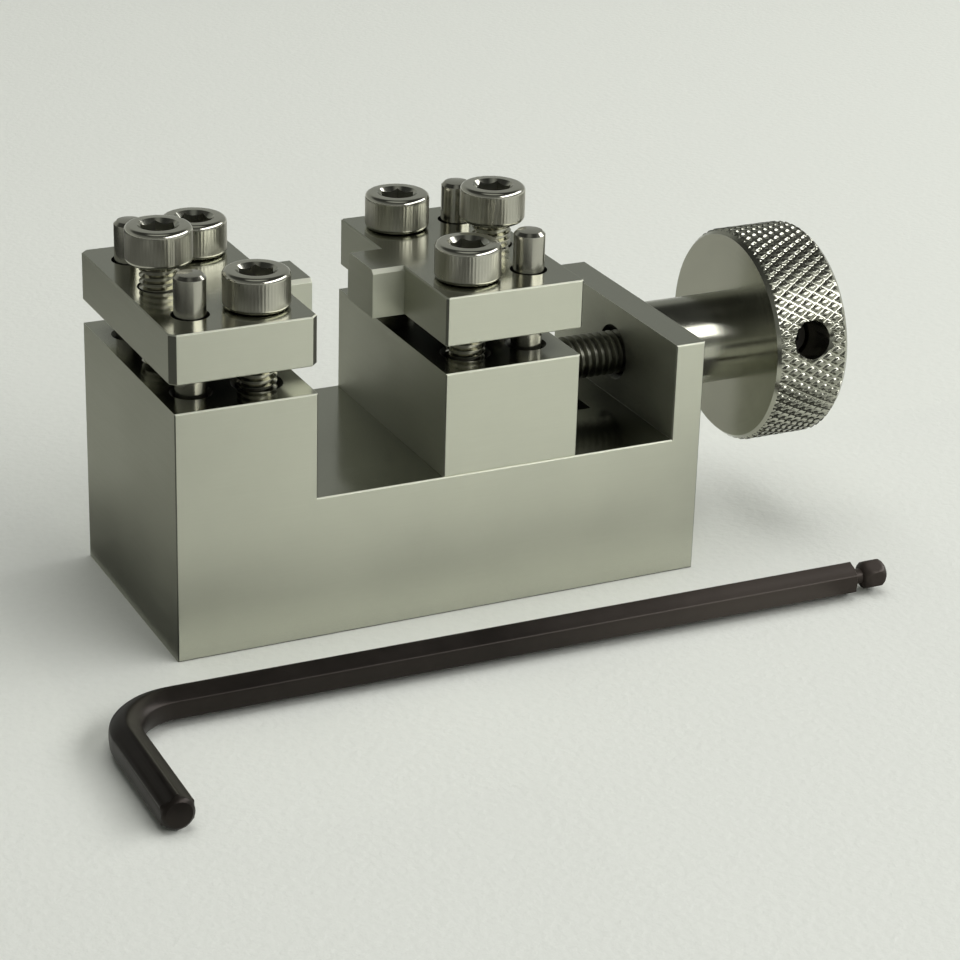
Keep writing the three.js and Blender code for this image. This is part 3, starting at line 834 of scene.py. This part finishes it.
def turned_steel(name, axis_height, rim_radius, color, roughness):
    """Steel turned about the spindle's axis: rings on the faces and bands on the rounds, painted darker as
    shade where the knurls reach the rim's full radius. The roughness is a range."""
    paint = Paint(name, color, METAL, roughness[0])
    place = paint.split(paint.place("Object"))
    up = paint.math("SUBTRACT", place[2], axis_height)
    squares = [paint.math("POWER", value, 2) for value in (up, place[1])]
    from_axis = paint.math("SQRT", paint.math("ADD", *squares))
    marks = paint.noise(*TOOL_MARKS, place=paint.combine(place[0], from_axis, 0))
    smudge = paint.noise(*TURNED_SMUDGE)
    rough = paint.math("ADD", paint.spread(smudge, NOISE_RANGE, roughness),
                       paint.spread(marks, NOISE_RANGE, LINE_ROUGHNESS))
    top_range = (rim_radius - KNURL_DEPTH * KNURL_TOP_START, rim_radius - KNURL_DEPTH * KNURL_TOP_FULL)
    tops = paint.spread(from_axis, top_range, UNIT_RANGE)
    # Painted shade on the knurls' tops
    tone = paint.math("MULTIPLY", paint.spread(smudge, NOISE_RANGE, TURNED_SMUDGE_TONES),
                      paint.blend(tops, 1, KNURL_TOP_SHADE_TONE))
    tangent = paint.nodes.new("ShaderNodeTangent")
    tangent.direction_type = "RADIAL"
    tangent.axis = "X"
    paint.set(Anisotropic=TURNED_ANISOTROPY, Anisotropic_Rotation=TURNED_ANISOTROPY_TURN)
    return paint.set(Base_Color=paint.tinted(tone, color), Roughness=rough, Tangent=tangent.outputs[0],
                     Normal=paint.bump(marks, TURNED_MARK_BUMP))


def blackened_steel(name, color, paler_color, roughness, pale_end=None):
    """Black oxide: brownish black with a satin grain and rubbed patches, and paler towards one end.
    The roughness is a range."""
    paint = Paint(name, color, NOT_METAL, roughness[0])
    paint.set(Specular_Tint=BLACK_SPECULAR_TINT, Specular_IOR_Level=BLACK_SPECULAR_LEVEL)
    patches = paint.noise(*BLACK_PATCHES)
    paler_share = paint.spread(patches, BLACK_PATCH_RANGE, BLACK_PATCH_SHARES)
    if pale_end is not None:
        along = paint.split(paint.place("Object"))[0]
        paler_share = paint.math("ADD", paler_share, paint.spread(along, (0, pale_end), BLACK_PALE_END_SHARES))
    rough = paint.spread(patches, NOISE_RANGE, roughness)
    bump = paint.bump(paint.noise(*BLACK_GRAIN), BLACK_GRAIN_BUMP)
    return paint.set(Base_Color=paint.blend(paler_share, color, paler_color), Roughness=rough, Normal=bump)


def floor_material():
    """The pale floor with a faint soft grain."""
    paint = Paint("pale_floor", FLOOR_COLOR_LOW, NOT_METAL, FLOOR_ROUGHNESS)
    grain = paint.noise(*FLOOR_GRAIN)
    color = paint.blend(grain, FLOOR_COLOR_LOW, FLOOR_COLOR_HIGH)
    return paint.set(Base_Color=color, Normal=paint.bump(grain, FLOOR_BUMP))


# Studio

# The surroundings' brightness by height of direction, as pairs of height and grey
BACK_SKY = [(0, 0.6), (0.15, 0.36), (0.5, 0.31), (0.65, 0.07), (0.93, 0.03), (0.97, 0.45)]
FRONT_SKY = [(0, 0.6), (0.15, 0.24), (0.5, 0.18), (0.93, 0.04), (0.97, 0.45)]
SKY_TINT = (0.97, 1.0, 0.93)
# Parts of the direction along Y between which the sky goes over from front to back
SKY_CHANGE = (-0.2, 0.5)

# Lamps, in metres and watts
WINDOW_LAMP = {"place": (0.67, -0.47, 0.6), "width": 1.9, "height": 0.38, "power": 10.5}
SOFT_LAMP = {"place": (0.1, 0.2, 1.1), "width": 1, "height": 1, "power": 5.8}
LAMP_AIM_HEIGHT = 20 * MM

# Floor, and boards that paint reflections: the grey ones a darker floor, the black ones dark surroundings
# and, at the block's left foot, its shadow
FLOOR_REACH = 3
BOARD_HEIGHT = 0.2 * MM
BOARD_ROUGHNESS = 0.8
BOARD_COLORS = {"grey_board": (0.6, 0.605, 0.555), "black_board": (0.05, 0.05, 0.045)}
# Each board's near left corner, far right corner and material
BOARDS = {
    "painted_shadow_board": ((-0.052, -0.03), (-0.037, 0.035), "black_board"),
    "near_left_board": ((-0.11, -0.03), (-0.052, 0.12), "grey_board"),
    "left_board": ((-0.4, -0.4), (-0.11, 0.4), "black_board"),
    "back_left_board": ((-0.11, 0.12), (-0.04, 0.4), "black_board"),
    "back_board": ((-0.04, 0.02), (0.4, 0.4), "grey_board"),
    "front_board": ((-0.11, -0.4), (-0.008, -0.06), "black_board"),
    "right_board": ((0.05, -0.055), (0.07, -0.005), "black_board"),
}


def make_world():
    """Surroundings that are pale at the horizon and straight overhead, darker between, and brighter
    behind than in front."""
    world = bpy.data.worlds.new("studio")
    bpy.context.scene.world = world
    world.use_nodes = True
    tree = Nodes(world.node_tree)
    direction = tree.split(tree.place("Generated"))
    front = tree.ramp(direction[2], FRONT_SKY, SKY_TINT)
    back = tree.ramp(direction[2], BACK_SKY, SKY_TINT)
    behind = tree.spread(direction[1], SKY_CHANGE, UNIT_RANGE)
    tree.link(tree.blend(behind, front, back), tree.nodes["Background"].inputs["Color"])


def area_lamp(name, place, width, height, power):
    """A rectangular lamp aimed at the block's middle."""
    data = bpy.data.lights.new(name, "AREA")
    data.shape = "RECTANGLE"
    data.size = width
    data.size_y = height
    data.energy = power
    lamp = bpy.data.objects.new(name, data)
    lamp.location = place
    aim = Vector((0, 0, LAMP_AIM_HEIGHT)) - lamp.location
    lamp.rotation_euler = aim.to_track_quat("-Z", "Y").to_euler()
    bpy.context.scene.collection.objects.link(lamp)
    return lamp


def make_board(name, low, high, height, material):
    """A flat rectangle of the stage between two corners."""
    corners = [(low[0], low[1], height), (high[0], low[1], height), (high[0], high[1], height),
               (low[0], high[1], height)]
    board = make_piece(name, corners, [(0, 1, 2, 3)])
    board.data.materials.append(material)
    return board


def lay_boards():
    """The boards on the floor, which only the metal's reflections show: painted reflections of a darker
    floor, dark surroundings and the block's shadow.
    """
    paints = {}
    for name, color in BOARD_COLORS.items():
        paints[name] = Paint(name, color, NOT_METAL, BOARD_ROUGHNESS).material
    for name, (low, high, paint) in BOARDS.items():
        board = make_board(name, low, high, BOARD_HEIGHT, paints[paint])
        board.visible_camera = False
        board.visible_diffuse = False
        board.visible_shadow = False


def make_camera():
    """The camera at the photo's angle."""
    data = bpy.data.cameras.new("camera")
    data.sensor_width = CAMERA_SENSOR
    data.lens = CAMERA_LENS
    data.shift_y = CAMERA_SHIFT_PIXELS / FRAME_PIXELS
    camera = bpy.data.objects.new("camera", data)
    level_reach = math.cos(CAMERA_ELEVATION)
    back = Vector((math.sin(CAMERA_AZIMUTH) * level_reach, -math.cos(CAMERA_AZIMUTH) * level_reach,
                   math.sin(CAMERA_ELEVATION)))
    level = Vector((0, 0, 1)).cross(back).normalized()
    upright = back.cross(level)
    right = level * math.cos(CAMERA_ROLL) + upright * math.sin(CAMERA_ROLL)
    up = back.cross(right)
    turned = Matrix((right, up, back)).transposed().to_4x4()
    camera.matrix_world = Matrix.Translation(CAMERA_PLACE) @ turned
    bpy.context.scene.collection.objects.link(camera)
    bpy.context.scene.camera = camera


# The scene

def paint_solids(nodes, material):
    """The CAD solids that keep their meshes get a material."""
    for node in nodes:
        materials = frame["nodes"][node].data.materials
        materials.clear()
        materials.append(material)


bpy.context.scene.view_settings.view_transform = "Standard"
make_camera()
make_world()
make_board("floor", (-FLOOR_REACH, -FLOOR_REACH), (FLOOR_REACH, FLOOR_REACH), height=0,
           material=floor_material())
area_lamp("window_lamp", **WINDOW_LAMP)
soft_lamp = area_lamp("soft_lamp", **SOFT_LAMP)
soft_lamp.visible_glossy = False
lay_boards()

spindle_low, spindle_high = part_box("spindle")
axis_height = (spindle_low.z + spindle_high.z) / 2
rim_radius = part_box("knob")[1].z - axis_height
key_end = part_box("hex_key")[1].x

ground = ground_steel("ground_steel")
pin_steel = bright_steel("bright_steel", color=(0.48, 0.47, 0.405), roughness=0.12, side_roughness=0.22)
head_steel = bright_steel("head_steel", color=(0.58, 0.57, 0.49), roughness=0.12, side_roughness=0.34)
# Painted shade inside the sockets: a darker steel
socket_shade_steel = bright_steel("socket_shade_steel", color=(0.45, 0.45, 0.39), roughness=0.14, side_roughness=0.3)
knob_steel = turned_steel("turned_steel", axis_height, rim_radius,
                          color=(0.44, 0.44, 0.37), roughness=(0.15, 0.22))
# The spindle's steel is painted darker than the knob's, as the shade of the pocket it runs in
spindle_steel = turned_steel("spindle_steel", axis_height, rim_radius,
                             color=(0.19, 0.19, 0.155), roughness=(0.34, 0.44))
key_steel = blackened_steel("black_oxide", color=(0.004, 0.0032, 0.0026),
                            paler_color=(0.042, 0.035, 0.03), roughness=(0.33, 0.4), pale_end=key_end)
dark_screw = blackened_steel("dark_screw", color=(0.05, 0.048, 0.045),
                             paler_color=(0.09, 0.085, 0.08), roughness=(0.3, 0.45))

paint_solids(("base_block", "sliding_jaw", "hold_down_plate", "left_clamp_plate", "right_clamp_plate"),
             ground)
paint_solids(("hold_down_screw_inner", "hold_down_screw_outer", "spindle_retaining_screw",
              "knob_grub_screw"), dark_screw)

for side in ("left", "right"):
    for screw in ("clamp_screw_front", "clamp_screw_back", "jack_screw"):
        node = f"{side}_{screw}"
        dress(socket_head_screw(node), node, (head_steel, socket_shade_steel))
    for pin in ("guide_pin_front", "guide_pin_back"):
        node = f"{side}_{pin}"
        dress(guide_pin(node), node, (pin_steel,))
dress(spindle_piece(), "spindle", (spindle_steel,))
dress(knob_piece(), "knob", (knob_steel,))
dress(hex_key_piece(), "hex_key", (key_steel,))
